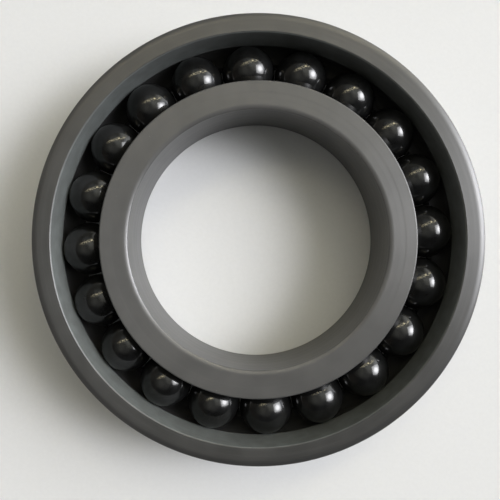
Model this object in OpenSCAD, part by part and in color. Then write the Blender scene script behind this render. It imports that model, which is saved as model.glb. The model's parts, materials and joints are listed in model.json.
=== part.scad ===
// Single-row ball bearing with a full complement of balls and no cage.
// The bearing turns about Z. The origin is on that axis, midway between the two faces.
// The outer ring is counterbored on its +Z side and has a full shoulder on its -Z side.

/* [Boundary dimensions] */
// Diameter of the bore through the inner ring
bore_d = 75; // [75:0.5:80]
// Outside diameter of the outer ring
outside_d = 130; // [130:0.5:140]
// Width of both rings, from face to face
width = 25; // [20:0.5:30]
// Width of the rounded corner at the outside diameter, across the face
outside_corner = 2; // [0.5:0.1:2.2]
// Radius of the arc that rounds it
outside_corner_r = 4.5; // [2.3:0.1:6]
// Width of the rounded corner at the bore, across the face
bore_corner = 1.4; // [0.5:0.1:2.2]
// Radius of the arc that rounds it
bore_corner_r = 2.5; // [2.3:0.1:6]

/* [Balls] */
// Diameter of every ball
ball_d = 15.875; // [14:0.125:16]
// Number of balls in the row
ball_count = 20; // [8:1:20]
// Angle of the first ball, in degrees from +X
first_ball_angle = 3; // [0:1:17]

/* [Raceways] */
// Radius of a raceway's section, as a share of the ball diameter
conformity = 0.52; // [0.51:0.005:0.54]
// Play between the balls and the two raceways together, on the diameter
radial_play = 0.06; // [0.02:0.01:0.2]
// Height of the inner ring's two shoulders over its raceway
inner_shoulder = 2.4; // [1.5:0.1:3]
// Height of the outer ring's full shoulder over its raceway
outer_shoulder = 3.2; // [2:0.1:3.5]
// Height of the lip that keeps the balls in on the counterbored side
retaining_lip = 0.3; // [0.1:0.05:0.6]
// Slope of the counterbore's wall, in degrees, opening towards its face
counterbore_taper = 3; // [0:0.5:5]
// Chamfer along the ring edges that face the balls
edge_chamfer = 0.3; // [0.1:0.05:0.8]

/* [Hidden] */
function ball_name(i) = str("ball_", i < 10 ? "0" : "", i);

$fn = 180;
ring_colour = [0.44, 0.44, 0.42];
ball_colour = [0.13, 0.13, 0.14];

bore_r = bore_d / 2;
outside_r = outside_d / 2;
half_width = width / 2;
pitch_r = (bore_r + outside_r) / 2;
ball_step = 360 / ball_count;

// A raceway is a round groove, a little wider than the ball, with its bottom at Z = 0.
groove_r = conformity * ball_d;
ball_gap = radial_play / 4;
outer_bottom_r = pitch_r + ball_d / 2 + ball_gap;
inner_bottom_r = pitch_r - ball_d / 2 - ball_gap;
outer_groove_centre_r = outer_bottom_r - groove_r;
inner_groove_centre_r = inner_bottom_r + groove_r;

outer_shoulder_r = outer_bottom_r - outer_shoulder;
inner_shoulder_r = inner_bottom_r + inner_shoulder;

// The counterbore's wall starts at the lip, on the edge of the raceway, and slopes out to the face.
lip_r = outer_bottom_r - retaining_lip;
lip_z = sqrt(pow(groove_r, 2) - pow(lip_r - outer_groove_centre_r, 2));
function counterbore_r(z) = lip_r + (z - lip_z) * tan(counterbore_taper);

module raceway_section(centre_r) {
    translate([centre_r, 0])
        circle(r = groove_r);
}

module outer_ring_blank() {
    polygon([
        [counterbore_r(0), 0],
        [outer_shoulder_r, 0],
        [outer_shoulder_r, edge_chamfer - half_width],
        [outer_shoulder_r + edge_chamfer, -half_width],
        [outside_r, -half_width],
        [outside_r, half_width],
        [counterbore_r(half_width) + edge_chamfer, half_width],
        [counterbore_r(half_width), half_width - edge_chamfer]
    ]);
}

module inner_ring_blank() {
    polygon([
        [bore_r, -half_width],
        [inner_shoulder_r - edge_chamfer, -half_width],
        [inner_shoulder_r, edge_chamfer - half_width],
        [inner_shoulder_r, half_width - edge_chamfer],
        [inner_shoulder_r - edge_chamfer, half_width],
        [bore_r, half_width]
    ]);
}

// What the arcs take off a ring's two corners. Each arc leaves its face at face_r, tangent to it.
// It falls away outwards, or towards the bore where inwards is 1.
module corner_reliefs(face_r, arc_r, inwards = 0) {
    for (lower = [0, 1])
        mirror([0, lower])
            translate([face_r, half_width - arc_r])
                mirror([inwards, 0])
                    difference() {
                        square(2 * arc_r);
                        circle(r = arc_r);
                    }
}

module outer_ring() {
    color(ring_colour)
        rotate_extrude()
            difference() {
                outer_ring_blank();
                raceway_section(outer_groove_centre_r);
                corner_reliefs(outside_r - outside_corner, outside_corner_r);
            }
}

module inner_ring() {
    color(ring_colour)
        rotate_extrude()
            difference() {
                inner_ring_blank();
                raceway_section(inner_groove_centre_r);
                corner_reliefs(bore_r + bore_corner, bore_corner_r, inwards = 1);
            }
}

module ball(i) {
    color(ball_colour)
        rotate([0, 0, first_ball_angle + (i - 1) * ball_step])
            translate([pitch_r, 0, 0])
                sphere(d = ball_d);
}

outer_ring();
inner_ring();
for (i = [1:ball_count])
    ball(i);
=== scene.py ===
"""A full-complement ceramic ball bearing lying on a pale table, in metres.

The balls are the CAD nodes with a polished material. The two rings are turned here with softly
rounded edges, from the CAD model's own dimensions, and stand for the CAD rings.
"""

import json
import math
from collections import namedtuple

import bpy
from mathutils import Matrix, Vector


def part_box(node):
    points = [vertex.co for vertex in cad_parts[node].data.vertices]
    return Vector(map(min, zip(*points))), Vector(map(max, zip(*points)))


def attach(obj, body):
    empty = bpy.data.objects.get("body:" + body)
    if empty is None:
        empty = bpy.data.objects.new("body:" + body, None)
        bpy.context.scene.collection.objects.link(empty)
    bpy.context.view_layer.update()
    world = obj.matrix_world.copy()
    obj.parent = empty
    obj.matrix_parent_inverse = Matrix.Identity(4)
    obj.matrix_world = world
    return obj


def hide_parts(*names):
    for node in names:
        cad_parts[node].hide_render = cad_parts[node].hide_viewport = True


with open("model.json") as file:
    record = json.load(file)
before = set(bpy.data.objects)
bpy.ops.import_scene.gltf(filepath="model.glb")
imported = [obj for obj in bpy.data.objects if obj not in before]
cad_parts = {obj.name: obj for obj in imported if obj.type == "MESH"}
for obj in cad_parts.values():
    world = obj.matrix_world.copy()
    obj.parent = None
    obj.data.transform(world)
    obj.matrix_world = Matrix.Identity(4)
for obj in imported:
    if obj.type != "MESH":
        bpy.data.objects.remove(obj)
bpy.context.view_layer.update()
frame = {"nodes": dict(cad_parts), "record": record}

MM = 0.001

# ---------------------------------------------------------------- dimensions
# The driving sizes come from the frame.
mounts = {mount["name"]: mount for mount in frame["record"]["mounts"]}
ring_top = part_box("outer_ring")[1]
ball_low, ball_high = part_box("ball_01")

outside_r = ring_top.x
half_width = ring_top.z
bore_r = mounts["bore"]["dims"]["r_mm"] * MM
ball_r = (ball_high.z - ball_low.z) / 2
pitch_r = (bore_r + outside_r) / 2

# The sections' own sizes, as in the CAD model.
OUTSIDE_CORNER = 2.0 * MM
OUTSIDE_CORNER_R = 4.5 * MM
BORE_CORNER = 1.4 * MM
BORE_CORNER_R = 2.5 * MM
EDGE_CHAMFER = 0.3 * MM
INNER_SHOULDER = 2.4 * MM
OUTER_SHOULDER = 3.2 * MM
RETAINING_LIP = 0.3 * MM
COUNTERBORE_TAPER = math.radians(3)
CONFORMITY = 0.52
BALL_GAP = 0.015 * MM

groove_r = CONFORMITY * 2 * ball_r
outer_bottom_r = pitch_r + ball_r + BALL_GAP
inner_bottom_r = pitch_r - ball_r - BALL_GAP

# How far each kind of edge is rounded.
WALL_EDGE = 0.25 * MM
SOFT_EDGE = 0.36 * MM
SHARP_EDGE = 0.08 * MM
EDGE_STEPS = 6
CORNER_STEPS = 6
GROOVE_STEPS = 28
TURN_STEPS = 360


# ---------------------------------------------------------------- ring sections
# A corner of a section: how far it is rounded, and whether the surface there is left unpolished.
Corner = namedtuple("Corner", "r z rounding matt", defaults=(0.0, 0.0))


def arc(centre_r, centre_z, radius, start, end, steps):
    """Corners along an arc of the section, without its two ends; angles run from +R towards +Z."""
    angles = [start + (end - start) * step / steps for step in range(1, steps)]
    return [Corner(centre_r + radius * math.cos(a), centre_z + radius * math.sin(a)) for a in angles]


def groove_angle(depth):
    """Angle of the raceway's section at which it has risen by depth from its bottom."""
    return math.acos(1 - depth / groove_r)


def outside_corner():
    """The upper corner of the outside diameter, from the wall up to the face."""
    end = math.acos(OUTSIDE_CORNER / OUTSIDE_CORNER_R)
    face_r = outside_r - OUTSIDE_CORNER
    centre_z = half_width - OUTSIDE_CORNER_R
    return [
        Corner(outside_r, centre_z + OUTSIDE_CORNER_R * math.sin(end), WALL_EDGE),
        *arc(face_r, centre_z, OUTSIDE_CORNER_R, end, math.pi / 2, CORNER_STEPS),
        Corner(face_r, half_width),
    ]


def bore_corner():
    """The upper corner of the bore, from the face down to the wall."""
    end = math.acos(BORE_CORNER / BORE_CORNER_R)
    face_r = bore_r + BORE_CORNER
    centre_z = half_width - BORE_CORNER_R
    return [
        Corner(face_r, half_width),
        *arc(face_r, centre_z, BORE_CORNER_R, math.pi / 2, math.pi - end, CORNER_STEPS),
        Corner(bore_r, centre_z + BORE_CORNER_R * math.sin(end), WALL_EDGE),
    ]


def lower(corners):
    """The same corners on the ring's lower side, in the order that keeps going round the section."""
    return [corner._replace(z=-corner.z) for corner in reversed(corners)]


def outer_section():
    """Corners of the outer ring's section, counter-clockwise."""
    shoulder_r = outer_bottom_r - OUTER_SHOULDER
    lip_r = outer_bottom_r - RETAINING_LIP
    lip_angle = groove_angle(RETAINING_LIP)
    shoulder_angle = groove_angle(OUTER_SHOULDER)
    lip_z = groove_r * math.sin(lip_angle)
    shoulder_z = -groove_r * math.sin(shoulder_angle)
    centre_r = outer_bottom_r - groove_r

    def wall_r(z):
        return lip_r + (z - lip_z) * math.tan(COUNTERBORE_TAPER)

    return [
        Corner(shoulder_r + EDGE_CHAMFER, -half_width, SHARP_EDGE),
        *lower(outside_corner()),
        *outside_corner(),
        Corner(wall_r(half_width) + EDGE_CHAMFER, half_width, SHARP_EDGE),
        Corner(wall_r(half_width - EDGE_CHAMFER), half_width - EDGE_CHAMFER, SHARP_EDGE, 1.0),
        Corner(lip_r, lip_z, SHARP_EDGE, 1.0),
        *arc(centre_r, 0, groove_r, lip_angle, -shoulder_angle, GROOVE_STEPS),
        Corner(shoulder_r, shoulder_z, SHARP_EDGE),
        Corner(shoulder_r, EDGE_CHAMFER - half_width, SHARP_EDGE),
    ]


def inner_section():
    """Corners of the inner ring's section, counter-clockwise."""
    shoulder_r = inner_bottom_r + INNER_SHOULDER
    shoulder_angle = groove_angle(INNER_SHOULDER)
    shoulder_z = groove_r * math.sin(shoulder_angle)
    centre_r = inner_bottom_r + groove_r
    upper_edge = [
        Corner(shoulder_r, shoulder_z, SHARP_EDGE),
        Corner(shoulder_r, half_width - EDGE_CHAMFER, SOFT_EDGE),
        Corner(shoulder_r - EDGE_CHAMFER, half_width, SOFT_EDGE),
    ]
    return [
        *lower(bore_corner()),
        *lower(upper_edge),
        *arc(centre_r, 0, groove_r, math.pi + shoulder_angle, math.pi - shoulder_angle, GROOVE_STEPS),
        *upper_edge,
        *bore_corner(),
    ]


def rounded(corners):
    """The section's outline with its corners rounded, as rows of r, z, wear and matt."""
    outline = []
    for i, corner in enumerate(corners):
        if corner.rounding == 0:
            outline.append((corner.r, corner.z, 0.0, corner.matt))
            continue
        place = Vector((corner.r, corner.z))
        following = corners[(i + 1) % len(corners)]
        before = (Vector((corners[i - 1].r, corners[i - 1].z)) - place).normalized()
        after = (Vector((following.r, following.z)) - place).normalized()
        half_angle = before.angle(after) / 2
        setback = corner.rounding / math.tan(half_angle)
        centre = place + (before + after).normalized() * corner.rounding / math.sin(half_angle)
        first = place + before * setback - centre
        last = place + after * setback - centre
        for step in range(EDGE_STEPS + 1):
            spoke = first.lerp(last, step / EDGE_STEPS).normalized() * corner.rounding
            outline.append((*(centre + spoke), 1.0, corner.matt))
    return outline


def turned_ring(name, section, material):
    """The section turned about Z, smooth-shaded, with wear and matt kept as point attributes."""
    outline = rounded(section)
    count = len(outline)
    points = []
    faces = []
    for turn in range(TURN_STEPS):
        angle = 2 * math.pi * turn / TURN_STEPS
        for r, z, _, _ in outline:
            points.append((r * math.cos(angle), r * math.sin(angle), z))
        here = turn * count
        there = (turn + 1) % TURN_STEPS * count
        for i in range(count):
            j = (i + 1) % count
            faces.append((here + i, there + i, there + j, here + j))
    mesh = bpy.data.meshes.new(name)
    mesh.from_pydata(points, [], faces)
    mesh.shade_smooth()
    for column, attribute in ((2, "wear"), (3, "matt")):
        values = mesh.attributes.new(attribute, "FLOAT", "POINT")
        values.data.foreach_set("value", [row[column] for row in outline] * TURN_STEPS)
    mesh.materials.append(material)
    ring = bpy.data.objects.new(name, mesh)
    bpy.context.scene.collection.objects.link(ring)
    ring.modifiers.new("flat_faces", "WEIGHTED_NORMAL")
    return ring


# ---------------------------------------------------------------- materials
# The Mix node has sockets of the same name for numbers and colours, so these go by position.
MIX_COLOUR_A = 6
MIX_COLOUR_B = 7
MIX_COLOUR_RESULT = 2


class Nodes:
    """Short calls that add and link the nodes of one tree."""

    def __init__(self, tree):
        self.tree = tree

    def put(self, socket, value):
        """Links the socket to another node's output, or sets it to a plain value."""
        if isinstance(value, bpy.types.NodeSocket):
            self.tree.links.new(value, socket)
        else:
            socket.default_value = value

    def node(self, kind, output=0, settings=None, **inputs):
        """Adds a node, sets its properties and inputs by name, and returns one of its outputs."""
        node = self.tree.nodes.new(kind)
        for key, value in (settings or {}).items():
            setattr(node, key, value)
        for key, value in inputs.items():
            self.put(node.inputs[key], value)
        return node.outputs[output]

    def calculate(self, kind, operation, *values, output=0):
        """Adds a node that works out one operation, with its inputs in order."""
        node = self.tree.nodes.new(kind)
        node.operation = operation
        for socket, value in zip(node.inputs, values):
            self.put(socket, value)
        return node.outputs[output]

    def math(self, operation, *values):
        """One step of arithmetic."""
        return self.calculate("ShaderNodeMath", operation, *values)

    def noise(self, vector, scale, detail=2.0):
        """Smooth noise from 0 to 1, with features 1 / scale metres across."""
        return self.node("ShaderNodeTexNoise", "Fac", Vector=vector, Scale=scale, Detail=detail)

    def spread(self, value, low, high, to_low, to_high, kind="LINEAR"):
        """The value's range from low to high mapped to to_low to to_high, and held beyond it."""
        node = self.tree.nodes.new("ShaderNodeMapRange")
        node.interpolation_type = kind
        self.put(node.inputs["Value"], value)
        self.put(node.inputs["From Min"], low)
        self.put(node.inputs["From Max"], high)
        self.put(node.inputs["To Min"], to_low)
        self.put(node.inputs["To Max"], to_high)
        return node.outputs["Result"]

    def mix(self, share, a, b):
        """Colour a where share is 0, and b where it is 1."""
        node = self.tree.nodes.new("ShaderNodeMix")
        node.data_type = "RGBA"
        self.put(node.inputs["Factor"], share)
        self.put(node.inputs[MIX_COLOUR_A], a)
        self.put(node.inputs[MIX_COLOUR_B], b)
        return node.outputs[MIX_COLOUR_RESULT]


class Surface(Nodes):
    """A new material with one Principled shader."""

    def __init__(self, name):
        self.material = bpy.data.materials.new(name)
        self.material.use_nodes = True
        super().__init__(self.material.node_tree)
        self.shader = self.tree.nodes["Principled BSDF"]
        self.place = self.node("ShaderNodeTexCoord", "Object")

    def set(self, **values):
        """Sets the shader's inputs by name, with underscores for spaces."""
        for key, value in values.items():
            self.put(self.shader.inputs[key.replace("_", " ")], value)

    def bump(self, height, distance):
        """Relief of the surface: a height of 1 stands that distance proud."""
        normal = self.node("ShaderNodeBump", Height=height, Distance=distance)
        self.tree.links.new(normal, self.shader.inputs["Normal"])


def grey(level, warmth=0.0):
    """A linear colour, a little redder and less blue where warmth is above 0."""
    return (level * (1 + warmth), level, level * (1 - warmth), 1)


# The rings' ceramic, in linear colours. Grinding marks and worn edges are a lighter grey.
OUTER_TONE = 0.026
INNER_TONE = 0.073
CLOUD_CONTRAST = 0.14
MARKED = grey(0.08)
DUST = grey(0.3)
UNGROUND_DARK = (0.088, 0.098, 0.095, 1)
UNGROUND_LIGHT = (0.118, 0.134, 0.130, 1)

# Its roughness, and how deep the marks are. Bands and grain are multiples of that depth.
RING_ROUGH = 0.40
ROUGH_VARIATION = 0.03
UNGROUND_EXTRA_ROUGH = 0.25
MARK_DEPTH = 0.002 * MM
BAND_RELIEF = 18.0
GRAIN_RELIEF = 0.5

# Roughness of the balls' haze and of their polished coat.
HAZE_ROUGH_LOW = 0.28
HAZE_ROUGH_HIGH = 0.40
COAT_ROUGH = 0.055


def ring_material(name, tone):
    """Dense dark grey ceramic of that tone, ground satin, with fine marks that run round the axis."""
    n = Surface(name)
    parts = n.tree.nodes.new("ShaderNodeSeparateXYZ")
    n.put(parts.inputs[0], n.place)
    x, y, z = parts.outputs
    radius = n.math("SQRT", n.math("ADD", n.math("MULTIPLY", x, x), n.math("MULTIPLY", y, y)))
    drift = n.math("MULTIPLY", n.noise(n.place, 60.0), 0.3 * MM)
    track = n.node("ShaderNodeCombineXYZ", X=n.math("ADD", radius, drift), Y=z, Z=drift)
    bands = n.noise(track, 500.0)
    marks = n.noise(track, 7000.0, 3.0)
    cloud = n.noise(n.place, 110.0, 4.0)
    blotch = n.noise(n.place, 260.0, 3.0)
    grain = n.noise(n.place, 9000.0)
    wear = n.node("ShaderNodeAttribute", "Fac", {"attribute_name": "wear"})
    matt = n.node("ShaderNodeAttribute", "Fac", {"attribute_name": "matt"})

    clouded = n.spread(cloud, 0.35, 0.65, 0.0, 1.0)
    marked = n.spread(marks, 0.45, 0.75, 0.0, 0.35)
    worn = n.math("MULTIPLY", wear, n.spread(cloud, 0.4, 0.6, 0.05, 0.3))
    dark = grey((1 - CLOUD_CONTRAST) * tone)
    light = grey((1 + CLOUD_CONTRAST) * tone, 0.01)
    colour = n.mix(clouded, dark, light)
    colour = n.mix(marked, colour, MARKED)
    colour = n.mix(worn, colour, MARKED)
    unground = n.mix(n.spread(blotch, 0.35, 0.65, 0.0, 1.0), UNGROUND_DARK, UNGROUND_LIGHT)
    colour = n.mix(matt, colour, unground)

    # Specks of dust: a dot in the middle of a few of the cells.
    cell = n.tree.nodes.new("ShaderNodeTexVoronoi")
    n.put(cell.inputs["Vector"], n.place)
    n.put(cell.inputs["Scale"], 420.0)
    chance = n.node("ShaderNodeSeparateColor", "Red", Color=cell.outputs["Color"])
    rare = n.math("GREATER_THAN", chance, 0.88)
    speck = n.math("MULTIPLY", rare, n.spread(cell.outputs["Distance"], 0.03, 0.06, 1.0, 0.0))
    colour = n.mix(n.math("MULTIPLY", speck, 0.5), colour, DUST)

    rough = n.spread(bands, 0.3, 0.7, RING_ROUGH - ROUGH_VARIATION, RING_ROUGH + ROUGH_VARIATION)
    rough = n.math("ADD", rough, n.spread(marks, 0.3, 0.7, -ROUGH_VARIATION, ROUGH_VARIATION))
    rough = n.math("ADD", rough, n.math("MULTIPLY", matt, UNGROUND_EXTRA_ROUGH))
    n.set(Base_Color=colour, Roughness=rough, IOR=2.0, Anisotropic=0.4, Anisotropic_Rotation=0.25)
    n.set(Tangent=n.node("ShaderNodeTangent", "Tangent", {"direction_type": "RADIAL", "axis": "Z"}))
    relief = n.math("ADD", n.math("MULTIPLY", bands, BAND_RELIEF), n.math("MULTIPLY", grain, GRAIN_RELIEF))
    n.bump(n.math("ADD", marks, relief), MARK_DEPTH)
    return n.material


def ball_material():
    """The same ceramic lapped to a mirror: near black, with a thin haze and hair scratches."""
    n = Surface("ball_ceramic")
    cloud = n.noise(n.place, 260.0, 4.0)
    haze = n.noise(n.place, 420.0, 3.0)
    stretched = n.node("ShaderNodeMapping", Vector=n.place, Rotation=(0.5, 0.9, 0.3), Scale=(1, 1, 0.04))
    scratches = n.noise(stretched, 6000.0)
    colour = n.mix(n.spread(cloud, 0.35, 0.65, 0.0, 1.0), grey(0.004), grey(0.009, -0.04))
    rough = n.spread(haze, 0.4, 0.7, HAZE_ROUGH_LOW, HAZE_ROUGH_HIGH)
    rough = n.math("ADD", rough, n.spread(scratches, 0.62, 0.8, 0.0, 0.06))
    n.set(Base_Color=colour, Roughness=rough, IOR=1.25)
    n.set(Coat_Weight=1.0, Coat_Roughness=COAT_ROUGH, Coat_IOR=1.58)
    n.bump(scratches, 0.0003 * MM)
    return n.material


def table_material():
    """Pale matt board."""
    n = Surface("pale_table")
    fibre = n.noise(n.place, 900.0, 4.0)
    n.set(Base_Color=n.mix(fibre, grey(0.79, -0.01), grey(0.84, -0.01)))
    n.set(Roughness=n.spread(fibre, 0.3, 0.7, 0.55, 0.7))
    n.bump(fibre, 0.02 * MM)
    return n.material


# ---------------------------------------------------------------- the bearing
for name, section, tone in (
    ("outer_ring", outer_section(), OUTER_TONE),
    ("inner_ring", inner_section(), INNER_TONE),
):
    ring = turned_ring("turned_" + name, section, ring_material(name + "_ceramic", tone))
    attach(ring, name)
    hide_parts(name)

polished = ball_material()
for name, ball in frame["nodes"].items():
    if name.startswith("ball_"):
        ball.material_slots[0].material = polished


# ---------------------------------------------------------------- the studio
# Directions are an azimuth from +X and an elevation, in degrees.
WINDOW = (9, 39)
WINDOW_DISTANCE = 3.0
WINDOW_SIZE = 1.8
WINDOW_POWER = 38.0

# The horizon's band fades out between these two sines of the elevation.
HORIZON_FULL = 0.12
HORIZON_END = 0.28
HORIZON_COLOUR = (0.45, 0.45, 0.45)

# The streak and its strands run along a circle round a pole. Its place and its half width are
# cosines of the angle from that pole.
STREAK_CENTRE = (70, 58)
STREAK_SPREAD = 24
STREAK_POLE = (112, -13.5)
STREAK_SIDE = (18, -15)
STREAK_PLACE = 0.27
STREAK_HALF_WIDTH = 0.14
STRANDS_ACROSS = 34.0
STRANDS_ALONG = 6.0
STREAK_COLOUR = (12.6, 11.1, 7.2)

# So far that the table's edge lies on the horizon.
TABLE_HALF = 30.0

CAMERA_PLACE = (-5.85 * MM, -0.94 * MM, 181.1 * MM)


def table():
    """A pale table top that the bearing lies on."""
    quarters = ((-1, -1), (1, -1), (1, 1), (-1, 1))
    corners = [(x * TABLE_HALF, y * TABLE_HALF, -half_width) for x, y in quarters]
    mesh = bpy.data.meshes.new("table")
    mesh.from_pydata(corners, [], [(0, 1, 2, 3)])
    mesh.materials.append(table_material())
    made = bpy.data.objects.new("table", mesh)
    bpy.context.scene.collection.objects.link(made)


def direction(azimuth, elevation):
    """The unit vector from the origin towards that direction."""
    a, e = math.radians(azimuth), math.radians(elevation)
    return Vector((math.cos(a) * math.cos(e), math.sin(a) * math.cos(e), math.sin(e)))


def window():
    """A soft square light that faces the bearing."""
    light = bpy.data.lights.new("window", "AREA")
    light.shape = "SQUARE"
    light.size = WINDOW_SIZE
    light.energy = WINDOW_POWER
    made = bpy.data.objects.new("window", light)
    towards = direction(*WINDOW)
    made.location = towards * WINDOW_DISTANCE
    made.rotation_euler = towards.to_track_quat("Z", "Y").to_euler()
    bpy.context.scene.collection.objects.link(made)


def room(base, glows):
    """Dim surroundings of the base colour, with soft glows, a pale horizon and the streak.

    A glow is its azimuth, elevation and spread, all in degrees, and its colour. The streak is a slim
    band of fine warm strands that runs over the top, to the left of the window.
    """
    world = bpy.data.worlds.new("room")
    bpy.context.scene.world = world
    world.use_nodes = True
    n = Nodes(world.node_tree)
    towards = n.node("ShaderNodeTexCoord", "Generated")

    def nearness(azimuth, elevation):
        """Cosine of the angle from that direction."""
        axis = direction(azimuth, elevation)
        return n.calculate("ShaderNodeVectorMath", "DOT_PRODUCT", towards, axis, output="Value")

    def lobe(azimuth, elevation, spread):
        """A round share with a soft edge: 1 in that direction, and 0 from twice the spread away."""
        edge = math.cos(math.radians(2 * spread))
        return n.spread(nearness(azimuth, elevation), edge, 1.0, 0.0, 1.0, "SMOOTHSTEP")

    def added(light, share, colour):
        """The light so far and a share of that colour."""
        glow = n.node("ShaderNodeVectorMath", 0, {"operation": "SCALE"}, Scale=share)
        glow.node.inputs[0].default_value = colour
        return n.calculate("ShaderNodeVectorMath", "ADD", light, glow)

    light = n.node("ShaderNodeCombineXYZ", X=base[0], Y=base[1], Z=base[2])
    for azimuth, elevation, spread, colour in glows:
        light = added(light, lobe(azimuth, elevation, spread), colour)

    height = n.math("ABSOLUTE", nearness(0, 90))
    pale = n.spread(height, HORIZON_FULL, HORIZON_END, 1.0, 0.0, "SMOOTHSTEP")
    light = added(light, pale, HORIZON_COLOUR)

    across = nearness(*STREAK_POLE)
    along = nearness(*STREAK_SIDE)
    off_centre = n.math("ABSOLUTE", n.math("SUBTRACT", across, STREAK_PLACE))
    band = n.spread(off_centre, 0.0, STREAK_HALF_WIDTH, 1.0, 0.0, "SMOOTHSTEP")
    x = n.math("MULTIPLY", across, STRANDS_ACROSS)
    y = n.math("MULTIPLY", along, STRANDS_ALONG)
    pattern = n.noise(n.node("ShaderNodeCombineXYZ", X=x, Y=y), 1.0, 4.0)
    strands = n.spread(pattern, 0.53, 0.59, 0.0, 1.0)
    share = n.math("MULTIPLY", n.math("MULTIPLY", band, strands), lobe(*STREAK_CENTRE, STREAK_SPREAD))
    light = added(light, share, STREAK_COLOUR)
    n.put(n.tree.nodes["Background"].inputs["Color"], light)


def camera():
    """Looks straight down from just beside the axis, with the bearing a little off centre."""
    data = bpy.data.cameras.new("camera")
    data.sensor_width = 36.0
    data.lens = 42.5
    data.shift_x = 0.024
    data.shift_y = -0.014
    data.clip_start = 0.01
    made = bpy.data.objects.new("camera", data)
    made.location = CAMERA_PLACE
    bpy.context.scene.collection.objects.link(made)
    bpy.context.scene.camera = made


table()
window()
room(
    base=(0.02, 0.02, 0.02),
    glows=[
        (*WINDOW, 12, (3.1, 3.1, 3.3)),
        (*WINDOW, 7, (9.5, 9.5, 9.8)),
        (20, 20, 14, (1.25, 1.3, 1.4)),
        (50, 20, 14, (1.26, 1.26, 1.16)),
        (30, 62, 12, (0.41, 0.41, 0.35)),
        (60, 55, 12, (0.43, 0.44, 0.42)),
        (95, 55, 12, (0.22, 0.24, 0.25)),
        (95, 20, 18, (0.16, 0.16, 0.14)),
        (130, 50, 12, (0.08, 0.08, 0.08)),
        (150, 20, 18, (0.12, 0.11, 0.09)),
        (180, 65, 14, (0.14, 0.14, 0.12)),
        (0, 90, 18, (0.24, 0.24, 0.22)),
        (210, 20, 18, (0.06, 0.05, 0.04)),
    ],
)
camera()
bpy.context.scene.view_settings.view_transform = "Standard"
